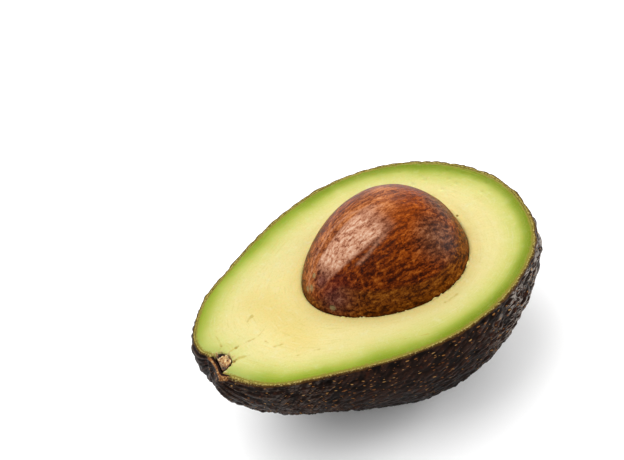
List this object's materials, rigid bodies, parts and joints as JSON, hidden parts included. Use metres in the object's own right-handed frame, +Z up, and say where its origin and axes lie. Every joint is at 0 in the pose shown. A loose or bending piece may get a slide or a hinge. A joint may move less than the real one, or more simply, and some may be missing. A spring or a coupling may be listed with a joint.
{
  "type": "avocado half",
  "caption": "Ripe dark-skinned avocado cut lengthwise, lying on its back with the cut face up and the round seed still in its hollow.",
  "frame": {"origin": "under the middle of the half, on the surface that it rests on", "axes": "+X from the stem end to the blunt end along the fruit's length, +Z up out of the level cut face, +Y across the face"},
  "size_m": [0.096, 0.0699, 0.0514],
  "materials": {
    "peel": "waxy, pebbled, near black",
    "flesh": "moist and smooth, pale yellow, green towards the skin",
    "seed": "satin, chestnut brown with darker streaks",
    "stem_stub": "dry, ragged, fibrous"
  },
  "bodies": {
    "root": {"peel": "peel", "flesh": "flesh", "seed": "seed", "stem_stub": "stem_stub"}
  },
  "joints": []
}
